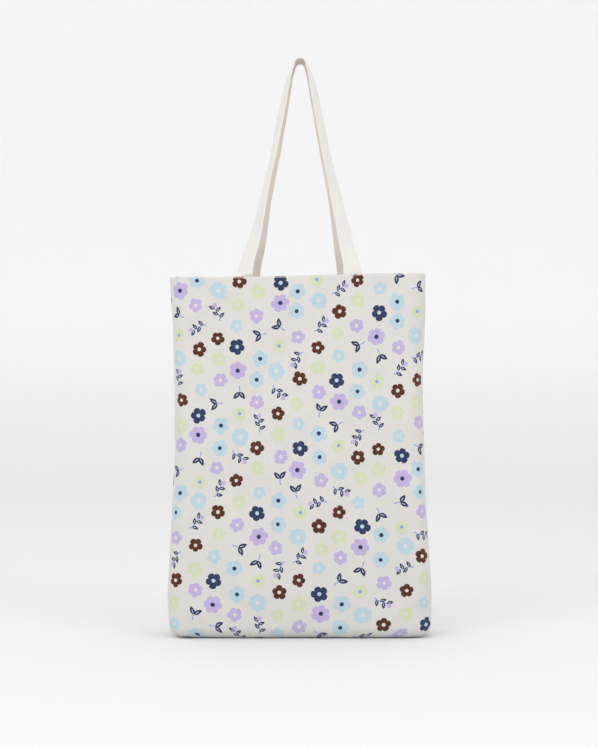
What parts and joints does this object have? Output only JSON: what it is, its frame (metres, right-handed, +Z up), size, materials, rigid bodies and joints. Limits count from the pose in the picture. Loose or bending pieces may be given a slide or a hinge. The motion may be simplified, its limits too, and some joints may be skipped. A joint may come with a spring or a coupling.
{
  "type": "foldable tote bag",
  "caption": "Open-topped cotton canvas tote bag with a boxed base, an all-over printed flower pattern and two webbing handles that swing down.",
  "frame": {"origin": "on the floor, under the middle of the base", "axes": "+Z up, the front faces -Y, +X to the right seen from the front"},
  "size_m": [0.2918, 0.0798, 0.642],
  "materials": {
    "printed_canvas": "printed plain-weave cotton canvas, matt",
    "webbing": "natural cotton webbing, ribbed, matt",
    "thread": "twisted cotton thread, matt"
  },
  "bodies": {
    "bag": {"front_panel": "printed_canvas", "back_panel": "printed_canvas", "front_hem": "printed_canvas", "back_hem": "printed_canvas", "left_side_seam": "printed_canvas", "right_side_seam": "printed_canvas", "base_seam": "printed_canvas", "left_corner_seam": "printed_canvas", "right_corner_seam": "printed_canvas", "hem_stitching": "thread", "front_handle_stitching": "thread", "back_handle_stitching": "thread", "front_handle_ends": "webbing", "back_handle_ends": "webbing"},
    "front_handle": {"front_handle": "webbing"},
    "back_handle": {"back_handle": "webbing"}
  },
  "joints": [
    {"name": "front_handle_swing", "type": "hinge", "parent": "bag", "child": "front_handle", "pos_m": [0, -0.0345, 0.4005], "axis": [1, 0, 0], "range_deg": [0, 172]},
    {"name": "back_handle_swing", "type": "hinge", "parent": "bag", "child": "back_handle", "pos_m": [0, 0.0345, 0.4005], "axis": [1, 0, 0], "range_deg": [-172, 0]}
  ]
}
